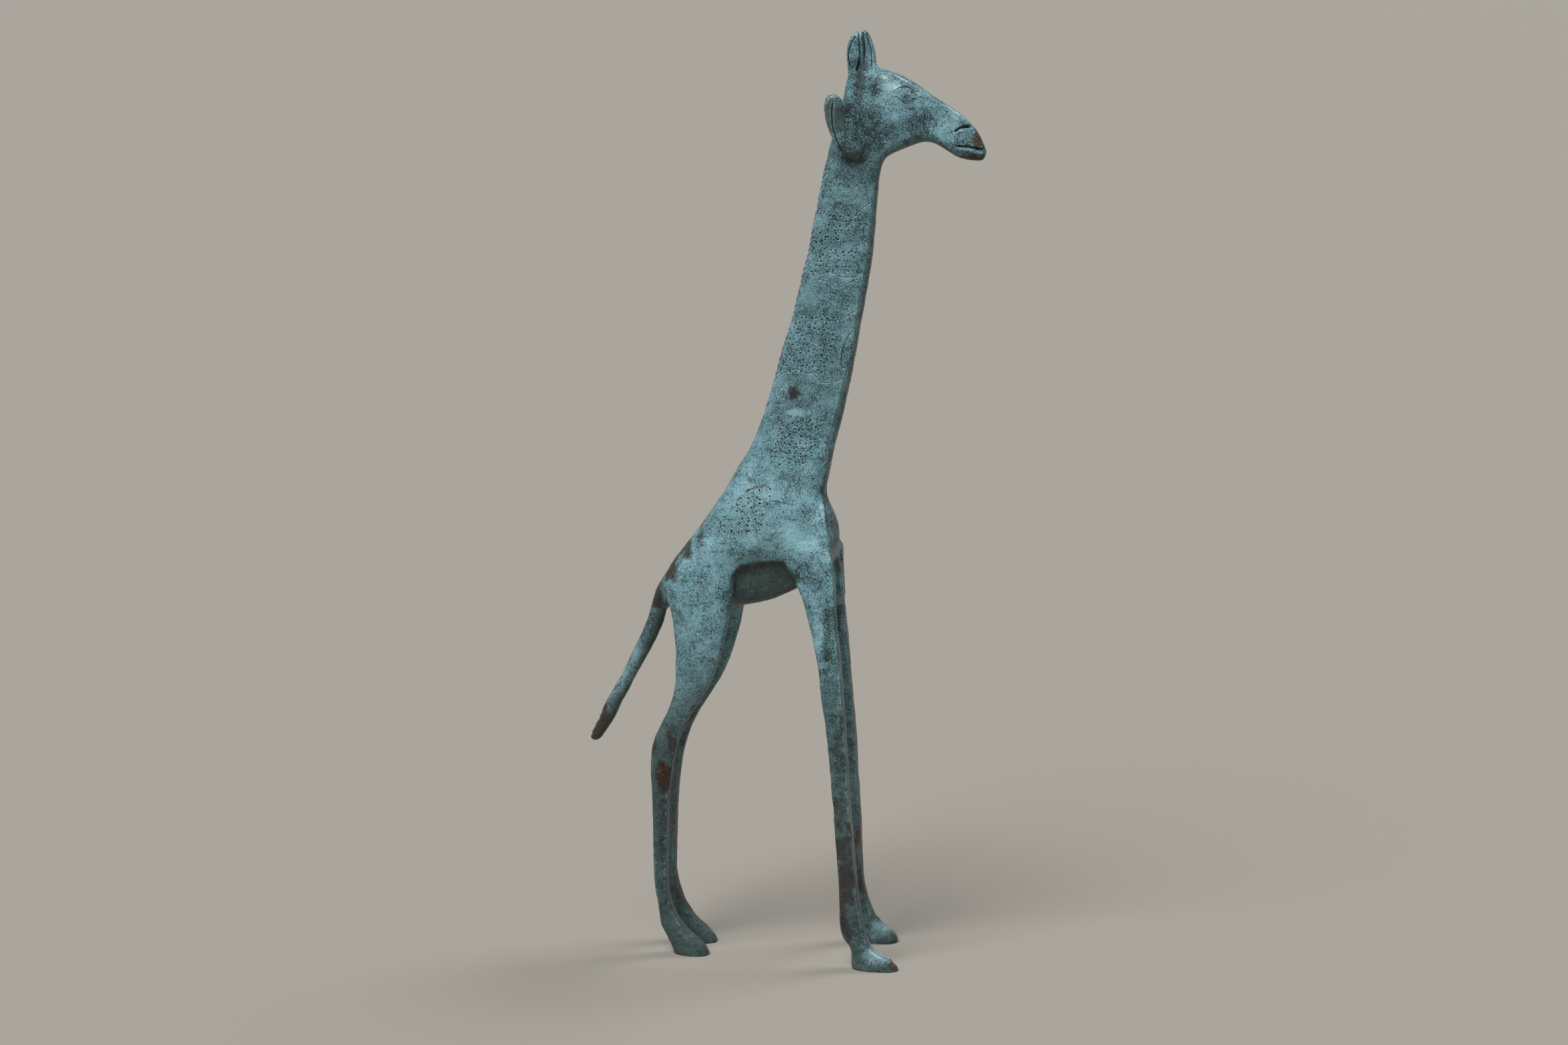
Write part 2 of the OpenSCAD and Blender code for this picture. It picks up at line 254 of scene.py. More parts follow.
def tidy_labels(label, quads):
    """The labels, with small islands taking the one around them, so that each piece is one patch."""
    owner = {}
    beside = [[] for _ in quads]
    for face, corners in enumerate(quads.tolist()):
        for i in range(4):
            key = (min(corners[i], corners[i - 1]), max(corners[i], corners[i - 1]))
            if key in owner:
                beside[face].append(owner[key])
                beside[owner[key]].append(face)
            else:
                owner[key] = face
    label, seen, patches = label.tolist(), [False] * len(quads), []
    for start in range(len(label)):
        if seen[start]:
            continue
        seen[start], patch = True, [start]
        for face in patch:
            for other in beside[face]:
                if not seen[other] and label[other] == label[start]:
                    seen[other] = True
                    patch.append(other)
        patches.append(patch)
    patches.sort(key=len)
    largest = {label[p[0]]: len(p) for p in patches}
    for patch in patches:
        if len(patch) < largest[label[patch[0]]]:
            around = [label[o] for f in patch for o in beside[f] if label[o] != label[patch[0]]]
            for face in patch:
                label[face] = max(set(around), key=around.count)
    return np.array(label, np.int32)


def mesh_from(points, faces, name):
    """A Blender mesh in metres."""
    mesh = bpy.data.meshes.new(name)
    mesh.from_pydata((points * MM).tolist(), [], faces.tolist())
    return mesh


def subdivided(mesh):
    """The mesh with every face split in four on a smooth surface."""
    helper = bpy.data.objects.new("helper", mesh)
    bpy.context.scene.collection.objects.link(helper)
    helper.modifiers.new("smooth", "SUBSURF").levels = 1
    result = bpy.data.meshes.new_from_object(
        helper.evaluated_get(bpy.context.evaluated_depsgraph_get()))
    bpy.data.objects.remove(helper)
    bpy.data.meshes.remove(mesh)
    return result


def refine(mesh, wanted):
    """Splits the faces around the wanted vertices once more."""
    work = bmesh.new()
    work.from_mesh(mesh)
    work.verts.ensure_lookup_table()
    edges = {e for i in np.nonzero(wanted)[0] for e in work.verts[i].link_edges}
    bmesh.ops.subdivide_edges(work, edges=list(edges), cuts=1, use_grid_fill=True)
    work.to_mesh(mesh)
    work.free()


# ------------------------------------------------------------------------------------------ relief

def curve(points, steps=6):
    """Points along a smooth line through the given ones."""
    p = np.array(points, float)
    if len(p) < 3:
        return p
    p = np.vstack([2 * p[0] - p[1], p, 2 * p[-1] - p[-2]])
    t = np.arange(steps)[:, None] / steps
    spans = [b + (c - a) * t / 2 + (2 * a - 5 * b + 4 * c - d) * t ** 2 / 2
             + (3 * b - a - 3 * c + d) * t ** 3 / 2 for a, b, c, d in zip(p, p[1:], p[2:], p[3:])]
    return np.vstack(spans + [p[-2]])


def distance_to(line, points):
    """Distance of each point from a polyline, in as many dimensions as both have."""
    nearest = np.full(len(points), np.inf)
    for a, b in zip(line, line[1:]):
        along = b - a
        t = np.clip((points - a) @ along / max(along @ along, 1e-9), 0, 1)
        nearest = np.minimum(nearest, np.linalg.norm(points - a - t[:, None] * along, axis=1))
    return nearest


def lumps(points, size, seed):
    """Smooth noise from -1 to 1, with lumps of about that size."""
    cells = 64
    table = np.random.default_rng(seed).uniform(-1, 1, (cells,) * 3)
    spot = points / size
    cell = np.floor(spot).astype(int)
    part = spot - cell
    part = part * part * (3 - 2 * part)
    total = np.zeros(len(points))
    for corner in itertools.product((0, 1), repeat=3):
        weight = np.prod(np.where(corner, part, 1 - part), axis=1)
        total += weight * table[tuple(((cell + corner) % cells).T)]
    return total


def fade(value, start, end):
    """0 at start and 1 at end, with a soft change between."""
    t = np.clip((value - start) / (end - start), 0, 1)
    return t * t * (3 - 2 * t)


# shade is painted shade, with some deep patina on the legs; olive carries painted shade too, and pale
# painted highlights
MASKS = ("shade", "olive", "dark", "worn", "pale", "gloss", "pit")


class Relief:
    """Heights and stains gathered for the vertices of the skin."""

    def __init__(self, points, normals):
        self.points, self.normals = points, normals
        self.order = np.argsort(points[:, 2])
        self.sorted_z = points[self.order, 2]
        self.height = np.zeros(len(points))
        self.masks = {name: np.zeros(len(points)) for name in MASKS}

    def between(self, low, high):
        """Vertices between two heights."""
        a, b = np.searchsorted(self.sorted_z, (low, high))
        return self.order[a:b]

    def on_side(self, found, side):
        """Those of the vertices that face a side, or all where side is 0."""
        return found if side == 0 else found[side * self.normals[found, 1] > 0.25]

    def stamp(self, line, half_width, depth, side=0, rim=0.2, pit=1.0, pale=0.0, shape=2):
        """Cuts a groove along a line in the X-Z plane, with a low burr beside it."""
        line = np.array(line, float)
        reach = 3 * half_width
        found = self.between(line[:, 1].min() - reach, line[:, 1].max() + reach)
        found = self.on_side(found, side)
        away = distance_to(line, self.points[found][:, [0, 2]]) / half_width
        near = away < 3
        found, away = found[near], away[near]
        cut = np.exp(-away ** shape)
        burr = rim * np.exp(-((away - 1.7) / 0.5) ** 2)
        self.height[found] += depth * (burr - cut)
        self.masks["pit"][found] = np.maximum(self.masks["pit"][found], pit * cut)
        self.masks["pale"][found] = np.maximum(self.masks["pale"][found], pale * (burr / max(rim, 0.01)))

    def dot(self, x, z, radius, depth, side):
        """A punched dot."""
        self.stamp([(x, z), (x, z)], radius, depth, side, rim=0.25, pale=0.35, shape=3)

    def dent(self, centre, radii, depth, side=0):
        """A soft hollow, or a swelling where depth is negative, around a point in the X-Z plane."""
        found = self.on_side(self.between(centre[1] - 2 * radii[1], centre[1] + 2 * radii[1]), side)
        away = sum(((self.points[found, i] - c) / r) ** 2 for i, c, r in zip((0, 2), centre, radii))
        self.height[found] -= depth * np.exp(-away * 1.5)

    def ridge(self, line, half_width, height, pale=0.0):
        """Sharpens an edge along a line in space."""
        line = np.array(line, float)
        found = self.between(line[:, 2].min() - half_width, line[:, 2].max() + half_width)
        away = distance_to(line, self.points[found]) / half_width
        near = away < 1
        found, away = found[near], away[near]
        below_top = line[:, 2].max() - self.points[found, 2]
        self.height[found] += height * (1 - away) ** 1.5 * fade(below_top, -half_width, 7.0)
        thin = np.exp(-(away * 6) ** 2)
        self.masks["pale"][found] = np.maximum(self.masks["pale"][found], pale * thin)

    def stain(self, kind, centre, radii, amount=1.0, side=0, ragged=0.5, seed=1):
        """A soft-edged patch around a point. A radius of None means that it runs through that axis."""
        found = self.between(centre[2] - 2.5 * radii[2], centre[2] + 2.5 * radii[2])
        points = self.points[found]
        away = np.sqrt(sum(((points[:, i] - centre[i]) / radii[i]) ** 2
                           for i in range(3) if radii[i] is not None))
        found, points, away = found[away < 2.5], points[away < 2.5], away[away < 2.5]
        size = min(r for r in radii if r is not None)
        wander = lumps(points, size * 0.6, seed) + 0.6 * lumps(points, size * 0.2, seed + 1)
        value = amount * (1 - fade(away + 0.6 * ragged * wander, 0.35, 1.25))
        if side:
            value = value * fade(side * self.normals[found, 1], -0.3, 0.3)
        self.masks[kind][found] = np.maximum(self.masks[kind][found], value)


def edge_line(node, direction, low, high, step=3.0):
    """The line of a solid's outermost points in one direction, up a range of heights."""
    points, _ = solid_of(node)
    ahead = points @ np.array(direction, float)
    found = []
    for z in np.arange(low, high, step):
        level = np.abs(points[:, 2] - z) < step * 0.8
        if level.any():
            found.append(points[level][np.argmax(ahead[level])])
    found = np.array(found)
    for _ in range(2):
        found[1:-1] = (found[:-2] + 2 * found[1:-1] + found[2:]) / 4
    return found


def profile(node, low, high, step=2.0):
    """Heights with the rear and front X of a solid at each."""
    points, _ = solid_of(node)
    heights = np.arange(low, high, step)
    levels = [points[np.abs(points[:, 2] - z) < step] for z in heights]
    return heights, [p[:, 0].min() for p in levels], [p[:, 0].max() for p in levels]


# Engraved lines on the neck, as x and z
NECK_LINES = (
    ((8.7, 164.5), (11.2, 164.4), (14.0, 163.2), (16.6, 163.1), (18.5, 164.1)),
    ((7.0, 162.1), (8.7, 162.5), (11.2, 161.9), (13.2, 160.7), (16.0, 161.9), (19.2, 163.1)),
    ((10.4, 152.9), (13.2, 153.0), (15.4, 154.1), (17.4, 155.4)),
    ((-1.5, 138.9), (1.0, 140.6), (3.5, 141.3), (7.6, 140.2), (9.8, 138.4), (14.0, 139.1), (15.0, 141.0)),
    ((20.3, 180.4), (17.4, 177.8), (16.0, 177.0), (13.2, 178.7)),
    ((8.7, 176.6), (11.8, 180.0)),
    ((0.4, 137.4), (-0.8, 135.6), (0.4, 134.4)),
)
NECK_OVAL = (15.6, 146.2, 1.2, 4.3)     # x, z and radii

# The front edge of the breast and of each shoulder, as x and z
CHEST_EDGE = [(front - 0.3, z) for z, front, _ in CHEST[:6] + SHOULDER[2:]]

# Engraved arcs on the withers, as x and z
BODY_LINES = (
    ((-8.1, 112.4), (-6.0, 113.4), (-3.6, 113.7)),
    ((-2.1, 110.7), (0.6, 110.2), (3.5, 109.6)),
)

NECK_LEAN = 0.30                        # how far the neck moves forward per unit of height
PUNCHED = (                             # x and z of the first dot, columns, rows, spacing, scatter
    (3.4, 153.4, 9, 11, 1.25, 0.4),
    (11.6, 177.4, 7, 6, 1.15, 0.75),
    (8.0, 169.2, 9, 5, 1.15, 0.8),
    (6.0, 173.0, 6, 3, 1.3, 1.1),
    (0.6, 129.4, 9, 10, 1.1, 0.8),
)


def punch(relief, rng, block, side):
    """A block of punched dots, whose rows follow the lean of the neck."""
    x, z, columns, rows, spacing, scatter = block
    for row in range(rows):
        for column in range(columns):
            if rng.random() < 0.12:
                continue
            off = rng.normal(0, scatter * 0.4, 2)
            down = row * spacing
            relief.dot(x + column * spacing - down * NECK_LEAN + off[0], z - down + off[1],
                       rng.uniform(0.17, 0.22), rng.uniform(0.2, 0.28), side)


def work_neck(relief):
    """Punched and engraved ornament on the flat sides of the neck, and the nicked crest."""
    rng = np.random.default_rng(11)
    for side in BOTH:
        for line in NECK_LINES:
            relief.stamp(curve(line), 0.13, 0.11, side, rim=0.4, pit=0.35, pale=1.0)
        for block in PUNCHED:
            punch(relief, rng, block, side)
        x, z, across, up = NECK_OVAL
        turns = np.linspace(0.6, 2 * math.pi - 0.9, 24)
        relief.stamp([(x + across * math.cos(t) + 0.25 * up * math.sin(t), z + up * math.sin(t))
                      for t in turns], 0.16, 0.13, side, rim=0.3, pit=0.5, pale=0.4)
    heights, rear, _ = profile("neck", 128, 188)
    for z in np.arange(130.5, 186.0, 1.45):
        x = np.interp(z, heights, rear) + rng.uniform(-0.1, 0.1)
        rise = rng.uniform(0.9, 1.5)
        relief.stamp([(x - 0.8, z - rise), (x + rise * 0.9, z + rise)], 0.2,
                     rng.uniform(0.1, 0.18), rim=0.1, pit=0.5, pale=0.7)


def work_body(relief):
    """Dots scattered over the withers and a few engraved arcs."""
    rng = np.random.default_rng(23)
    for side in BOTH:
        for line in BODY_LINES:
            relief.stamp(curve(line), 0.13, 0.11, side, rim=0.3, pit=0.6, pale=0.4)
        for row in range(7):
            for column in range(9):
                x = -17.4 + column * 1.6 + row * 0.4 + rng.normal(0, 0.35)
                z = 103.0 + row * 1.55 + column * 0.1 + rng.normal(0, 0.3)
                if rng.random() < 0.78 and z < 104.5 + (x + 17.4) * 0.9:
                    relief.dot(x, z, rng.uniform(0.19, 0.24), rng.uniform(0.22, 0.3), side)


def tuck_belly(relief):
    """The belly lies deeper than the flank, under an arch from the thigh to the front leg."""
    found = relief.between(84, 98)
    x, _, z = relief.points[found].T
    arch = np.interp(x, *zip((-11.4, 92.4), (-10.0, 94.4), (-7.2, 95.7), (-3.1, 96.3), (1.2, 96.5)))
    leg = np.interp(z, *zip((90.3, 4.6), (93.9, 2.6), (96.6, 1.2)))
    inside = np.minimum(np.minimum(arch - z, x + 11.5), leg - x)
    inside += 0.25 * lumps(relief.points[found], 2.2, 91)
    share = fade(inside, -0.5, 1.5) * relief.normals[found, 1] ** 2
    relief.height[found] -= 0.7 * share * fade(z, 85.5, 91)
    relief.masks["olive"][found] = np.maximum(relief.masks["olive"][found], fade(inside, -0.6, 0.9))
    relief.masks["pale"][found] *= 1 - fade(inside, -0.6, 0.9)
    # Painted shade under the arch
    under_arch = share * (1 - fade(arch - z, 1.0, 4.0))
    relief.masks["shade"][found] = np.maximum(relief.masks["shade"][found], under_arch)
    relief.masks["worn"][found] = np.maximum(relief.masks["worn"][found], 0.3 * share)
    for side in BOTH:
        relief.stamp(CHEST_EDGE, 0.5, -0.25, side, rim=0, pit=0)


def work_head(relief):
    """Temples, eyes, cheeks, nostrils and mouth."""
    for side in BOTH:
        relief.dent((22.2, 206.4), (2.2, 3.6), 0.5, side)
        relief.dent((34.0, 198.6), (4.2, 2.2), 0.35, side)
        relief.dent((27.6, 205.2), (3.6, 2.2), -0.22, side)
        relief.stamp(curve([(26.0, 205.9), (27.2, 206.8), (28.9, 207.0), (30.4, 206.3), (31.2, 205.2)]),
                     0.15, 0.12, side, rim=0.3, pit=0.75, pale=0.3)
        relief.stamp(curve([(26.6, 204.9), (27.8, 204.2), (28.8, 203.4), (30.0, 204.0), (31.0, 204.6)]),
                     0.15, 0.12, side, rim=0.3, pit=0.75, pale=0.4)
        relief.stamp([(30.0, 206.0), (30.2, 205.7)], 0.2, 0.18, side, pit=0.8)
        relief.stamp(curve([(20.5, 202.0), (21.6, 202.4), (23.3, 202.0), (24.5, 200.7)]),
                     0.14, 0.08, side, pit=0.5)
        relief.stamp(curve([(40.2, 197.2), (41.2, 197.9), (42.4, 198.3), (43.6, 198.3)]),
                     0.26, 0.5, side, rim=0.1)
        relief.stamp([(42.2, 198.25), (43.4, 198.35)], 0.42, 0.35, side, rim=0)
        relief.stamp(curve([(40.2, 196.6), (41.8, 197.2), (43.8, 197.6)]), 0.2, -0.16, side,
                     rim=0, pit=0)
        relief.stamp([(40.7, 195.2), (40.9, 194.3)], 0.16, 0.1, side, pit=0.7)
    relief.stamp(curve([(40.9, 193.7), (43.4, 193.6), (45.2, 193.2), (46.4, 193.0)]), 0.26, 0.45,
                 rim=0.12)
    relief.stamp(curve([(41.2, 192.9), (43.2, 192.7), (45.6, 192.2), (46.6, 192.1)]), 0.22, -0.13,
                 rim=0, pit=0)
    relief.stamp(curve([(40.6, 192.4), (43.2, 191.9), (45.6, 191.5), (46.6, 191.4)]), 0.18, 0.1,
                 rim=0, pit=0.5)


def work_horns_and_ears(relief):
    """Rims along the leaf-shaped horns and the cupped ears."""
    relief.stamp(curve([(15.9, 211.6), (15.5, 213.2), (15.6, 215.4), (16.3, 217.4), (17.0, 218.4)]),
                 0.18, 0.3, RIGHT, rim=0.35, pale=0.4)
    relief.stamp(curve([(20.3, 211.6), (20.2, 213.6), (19.9, 215.8), (19.2, 217.8)]),
                 0.17, 0.22, RIGHT, rim=0.35, pit=0.7, pale=0.5)
    relief.stamp(curve([(17.9, 211.0), (17.5, 213.4), (17.7, 216.0), (18.0, 218.2)]),
                 0.2, 0.35, LEFT, rim=0.35, pale=0.4)
    relief.stamp(curve([(18.0, 218.8), (18.2, 217.0), (18.4, 215.2), (18.2, 213.2), (17.4, 210.8)]),
                 0.3, 0.5, RIGHT, rim=0.15, pit=0.85, pale=0.2)
    relief.stamp(curve([(12.9, 203.6), (12.6, 201.4), (12.8, 198.4), (13.6, 195.2), (14.6, 192.8)]),
                 0.2, 0.26, RIGHT, rim=0.3, pit=0.8, pale=0.2)
    relief.stamp(curve([(12.9, 199.8), (12.7, 197.6), (13.2, 195.0), (14.4, 192.2)]),
                 0.2, 0.34, LEFT, rim=0.3, pale=0.2)
    relief.dent((14.6, 201.2), (1.1, 3.4), 0.45, RIGHT)
    relief.dent((14.6, 197.4), (1.1, 3.2), 0.45, LEFT)


def work_tail(relief):
    """Nicks along the rear edge of the tuft."""
    heights, rear, _ = profile("tail", 50, 66, 1.5)
    rng = np.random.default_rng(31)
    for z in np.arange(51.5, 66.0, 1.5):
        x = np.interp(z, heights, rear)
        relief.stamp([(x - 0.8, z - 1.1), (x + 1.3, z + 0.9)], 0.22, rng.uniform(0.08, 0.15),
                     rim=0.1, pit=0.5, pale=0.7)


def work_feet(relief):
    """The edge between the top and the side of each foot."""
    for line in (((21.2, 5.6), (24.0, 3.7), (27.3, 2.0)), ((-23.8, 8.4), (-20.5, 5.7), (-17.4, 3.3))):
        for side in BOTH:
            relief.stamp(curve(line), 0.5, -0.3, side, rim=0, pit=0)


def sharpen_edges(relief):
    """Arrises of the squared legs and of the slab neck."""
    for name, low, high in (("front_right_leg", 9, 84), ("front_left_leg", 9, 84),
                            ("hind_right_leg", 9, 78), ("hind_left_leg", 9, 78)):
        side = RIGHT if "right" in name else LEFT
        for across in BOTH:
            outer = across == side
            relief.ridge(edge_line(name, (1, across, 0), low, high), 1.5, 0.34, 0.35 if outer else 0.2)
            relief.ridge(edge_line(name, (-1, across, 0), low, high), 1.3, 0.2)
    for across in BOTH:
        relief.ridge(edge_line("neck", (1, 2 * across, 0.2), 121, 186), 1.8, 0.4, 0.3)


def cast_grain(relief):
    """The unevenness of hand-worked wax and of the cast metal."""
    points = relief.points
    relief.height += 0.22 * lumps(points, 9.0, 41) + 0.10 * lumps(points, 3.5, 42)
    grain = 0.045 * lumps(points, 1.1, 43) + 0.035 * lumps(points, 0.55, 44)
    smooth = np.maximum(relief.masks["gloss"], relief.masks["worn"])
    relief.height += grain * (1 - 0.7 * smooth)


def stain_zones(relief):
    """The broad changes: darker towards the feet, painted shade under the body, in front, on the neck's
    sides and on the tail's front, and paler on the flanks.
    """
    x, _, z = relief.points.T
    lower = (1 - fade(z, 42, 92)) * (0.9 + 0.15 * lumps(relief.points, 9.0, 93))
    hind = (x < 0) * (1 - fade(z, 55, 75)) * 0.4
    # Painted shade: the upright sides of the neck are darkened with olive, and so are faces that look down
    slab = 0.22 * fade(z, 118, 135) * (1 - fade(z, 190, 196))
    painted_shade_beneath = fade(-relief.normals[:, 2], 0.2, 0.7)
    relief.masks["olive"] = np.clip(np.maximum(np.maximum(lower + hind, slab), painted_shade_beneath * 0.8), 0, 1)
    # Painted shade on faces that look forward, stronger on the neck
    forward = fade(relief.normals[:, 0], 0.6, 0.9) * (1 - fade(z, 196, 200)) * (0.3 + 0.2 * (z > 110))
    relief.masks["shade"] = np.maximum(relief.masks["shade"], forward)
    tail = (x < -28) * (z > 50) * fade(-z, -94, -88)
    # Painted shade: the tail's faces that look forward take more olive than those behind
    tail = tail * (0.7 + 0.3 * fade(relief.normals[:, 0], -0.35, 0.25))
    relief.masks["olive"] = np.maximum(relief.masks["olive"], tail)
    flank = 0.36 * fade(z, 84, 96) * (1 - fade(z, 112, 130))
    thigh = 0.24 * (x < -8) * (x > -29) * fade(z, 48, 62) * (1 - fade(z, 84, 96))
    neck = 0.14 * fade(z, 112, 130) * (1 - fade(z, 172, 186))
    outward = np.abs(relief.normals[:, 1]) * (0.85 + 0.3 * lumps(relief.points, 9.0, 113))
    relief.masks["pale"] = np.maximum(relief.masks["pale"], (flank + thigh + neck) * outward)


def stain_head(stain):
    """Painted shade in the folds and across the head, painted light on the cheek and the muzzle, painted
    highlights on the brow and the nose bridge, bare metal at the muzzle and the ears, and a polished brow
    and nose.
    """
    # Painted shade: the shadow between the horns, along their stems, at the root of the ear, in the temple
    # hollow, across the cheek and the jaw, and along the mouth
    stain("shade", (18.2, 0, 209.0), (1.5, None, 4.5), 0.6, ragged=0.5, seed=71)
    stain("shade", (17.8, 0, 204.6), (1.6, None, 4.0), 0.4, ragged=0.8, seed=72)
    stain("shade", (15.6, 0, 201.6), (1.3, None, 2.2), 0.8, seed=74)
    stain("shade", (21.8, 0, 206.4), (1.3, None, 3.4), 0.45, ragged=0.7, seed=90)
    stain("shade", (31.5, 0, 198.6), (4.0, None, 5.0), 0.4, ragged=0.9, seed=103)
    stain("shade", (20.0, 0, 197.0), (6.0, None, 7.0), 0.45, ragged=0.9, seed=104)
    stain("shade", (16.2, 0, 191.4), (3.2, None, 2.8), 0.65, ragged=0.8, seed=73)
    stain("shade", (34.5, 0, 193.0), (6.0, None, 1.5), 0.6, ragged=0.5, seed=91)
    stain("shade", (44.0, 0, 191.2), (4.0, None, 1.4), 0.7, ragged=0.4, seed=92)
    stain("olive", (12.6, 0, 200.5), (3.0, None, 4.5), 0.9, seed=95)
    stain("worn", (45.4, 0, 195.4), (2.0, None, 2.9), 0.8, ragged=0.3, seed=68)
    stain("worn", (46.6, 0, 190.8), (1.6, None, 0.9), 0.7, seed=69)
    stain("worn", (12.4, -7.4, 203.4), (1.6, 3, 2.6), 0.55, seed=75)
    stain("worn", (12.4, 7.4, 199.6), (1.6, 3, 2.6), 0.55, seed=76)
    stain("dark", (43.8, 0, 190.8), (3.4, None, 1.3), 0.7, seed=70)
    # Painted light on the cheek and the side of the muzzle, and painted highlights on the brow and along
    # the nose bridge
    stain("pale", (24.6, 0, 203.0), (4.0, None, 5.0), 0.4, ragged=0.7, seed=85)
    stain("pale", (38.0, 0, 198.0), (4.5, None, 3.2), 0.6, ragged=0.5, seed=86)
    stain("pale", (25.6, 0, 207.2), (2.6, None, 1.2), 0.8, ragged=0.4, seed=114)
    stain("pale", (31.0, 0, 205.6), (2.6, None, 0.9), 0.45, ragged=0.4, seed=115)
    stain("gloss", (25.5, 0, 208.0), (4.0, None, 2.2), 0.9, ragged=0.3, seed=87)
    stain("gloss", (38.5, 0, 200.5), (5.0, None, 2.4), 1.0, ragged=0.3, seed=88)
    stain("gloss", (12.4, 0, 201.5), (2.5, None, 4.0), 0.7, seed=106)


def stain_neck(stain):
    """The dark pit of the neck, the pale line below it and a spot above."""
    stain("dark", (3.0, 0, 135.8), (2.0, None, 2.4), 0.7, side=RIGHT, ragged=0.8, seed=77)
    stain("pale", (4.2, 0, 131.2), (3.2, None, 1.1), 0.8, side=RIGHT, ragged=0.7, seed=78)
    stain("dark", (4.0, 0, 159.0), (1.2, None, 1.0), 0.6, side=RIGHT, ragged=0.8, seed=79)


def stain_body(stain):
    """Dark patches along the rump and the spine, bare metal on the breast, and a pale flank."""
    stain("dark", (-27.2, 0, 94.0), (3.2, None, 4.2), 1.1, seed=51)
    stain("dark", (-30.6, 0, 86.0), (3.2, None, 5.0), 1.0, seed=53)
    stain("dark", (-22.8, 0, 99.0), (2.6, None, 3.6), 0.8, seed=112)
    stain("dark", (-26.5, 0, 93.5), (7.0, 4.6, 9.5), 0.95, ragged=0.6, seed=117)
    stain("dark", (-18.8, 0, 101.5), (1.6, None, 4.0), 0.6, seed=101)
    stain("dark", (-10.6, 0, 119.4), (0.8, None, 0.8), 0.9, seed=80)
    stain("shade", (6.5, 0, 93.5), (4.5, None, 3.0), 0.45, ragged=0.9, seed=100)
    stain("worn", (-24.6, 0, 92.6), (1.3, None, 2.6), 0.6, side=RIGHT, seed=52)
    stain("worn", (1.5, 0, 88.6), (4.0, None, 3.0), 0.3, seed=81)
    stain("worn", (12.6, 4, 95.0), (2.0, 4, 5.0), 0.5, seed=82)
    stain("worn", (12.4, 0, 104.5), (1.8, None, 4.5), 0.55, seed=96)
    stain("pale", (0.0, -8, 101.0), (13.0, 6, 6.0), 0.45, ragged=0.7, seed=83)
    stain("pale", (-21.0, -8, 88.0), (5.0, 6, 9.0), 0.3, ragged=0.8, seed=84)
    stain("pale", (10.6, 0, 103.5), (2.0, None, 3.0), 0.35, seed=98)


def stain_tail(stain):
    """A paler middle and a dark, handled tuft."""
    stain("pale", (-38.5, 0, 70.0), (5.0, None, 10.0), 0.5, seed=102)
    stain("olive", (-38.0, 0, 66.0), (9.0, None, 16.0), 0.7, seed=94)
    stain("dark", (-45.0, 0, 52.5), (5.5, None, 9.0), 0.95, ragged=0.3, seed=54)
    stain("worn", (-45.0, 0, 52.5), (5.0, None, 8.0), 0.5, ragged=0.8, seed=55)
    stain("gloss", (-44.0, 0, 55.0), (6.0, None, 9.0), 0.6, seed=107)


def stain_front_legs(stain):
    """Long dark stains with bare spots, and bright feet."""
    stain("dark", (16.6, -11, 20.0), (3.6, 5, 22.0), 0.75, ragged=0.8, seed=61)
    stain("dark", (17.0, -11, 12.0), (3.6, 5, 9.0), 0.7, seed=108)
    stain("dark", (17.0, 11, 15.0), (3.4, 5, 10.0), 0.7, ragged=0.8, seed=118)
    stain("shade", (15.0, -9, 45.0), (2.2, 4, 20.0), 0.7, ragged=1.0, seed=63)
    stain("shade", (14.0, 10, 52.0), (2.4, 5, 12.0), 0.6, ragged=0.9, seed=120)
    stain("shade", (11.8, 0, 78.0), (1.1, None, 9.0), 0.6, ragged=0.8, seed=99)
    stain("olive", (15.8, -11, 22.0), (4.0, 5, 22.0), 0.9, ragged=0.5, seed=116)
    stain("worn", (16.8, -11, 20.0), (1.5, 5, 12.0), 0.3, ragged=0.9, seed=62)
    stain("worn", (28.6, -11.6, 1.4), (1.8, 4, 1.4), 0.9, seed=64)
    stain("worn", (16.0, 10.5, 27.0), (3.0, 4, 7.0), 0.55, ragged=0.7, seed=65)
    stain("pale", (9.8, 0, 80.5), (1.8, None, 6.0), 0.7, seed=97)
    stain("pale", (24.4, -11.6, 3.5), (3.4, 5, 2.8), 0.8, seed=109)
    stain("pale", (21.5, 11.6, 3.5), (3.2, 5, 2.6), 0.6, seed=121)
    stain("gloss", (24.5, -11.6, 5.0), (4.5, 5, 4.0), 1.0, ragged=0.3, seed=89)
    stain("gloss", (16.0, -11, 24.0), (3.0, 5, 22.0), 0.6, seed=105)


def stain_hind_legs(stain):
    """Bare metal at the hocks, and dark stains above and below it."""
    stain("dark", (-27.6, -6, 43.5), (2.6, 4, 8.0), 1.0, seed=56)
    stain("dark", (-25.6, -7, 52.0), (1.6, 4, 5.0), 0.7, seed=58)
    stain("dark", (-30.0, -7, 50.6), (1.2, 4, 2.2), 0.8, seed=59)
    stain("dark", (-25.5, 4.4, 12.0), (4.0, 4, 9.0), 0.75, seed=67)
    stain("dark", (-24.6, 4.4, 20.0), (4.0, 4, 16.0), 0.6, seed=110)
    stain("shade", (-28.0, -6, 27.0), (1.1, 4, 13.0), 0.75, ragged=0.9, seed=60)
    stain("shade", (-24.0, 6, 58.0), (3.0, 5, 12.0), 0.6, ragged=0.9, seed=119)
    stain("worn", (-27.6, -8, 44.6), (1.1, 4, 3.6), 1.0, seed=57)
    stain("worn", (-27.0, 4.4, 38.0), (2.6, 3, 8.0), 0.45, ragged=0.7, seed=66)
    stain("worn", (-26.6, 4.4, 30.0), (2.0, 4, 9.0), 0.6, seed=111)


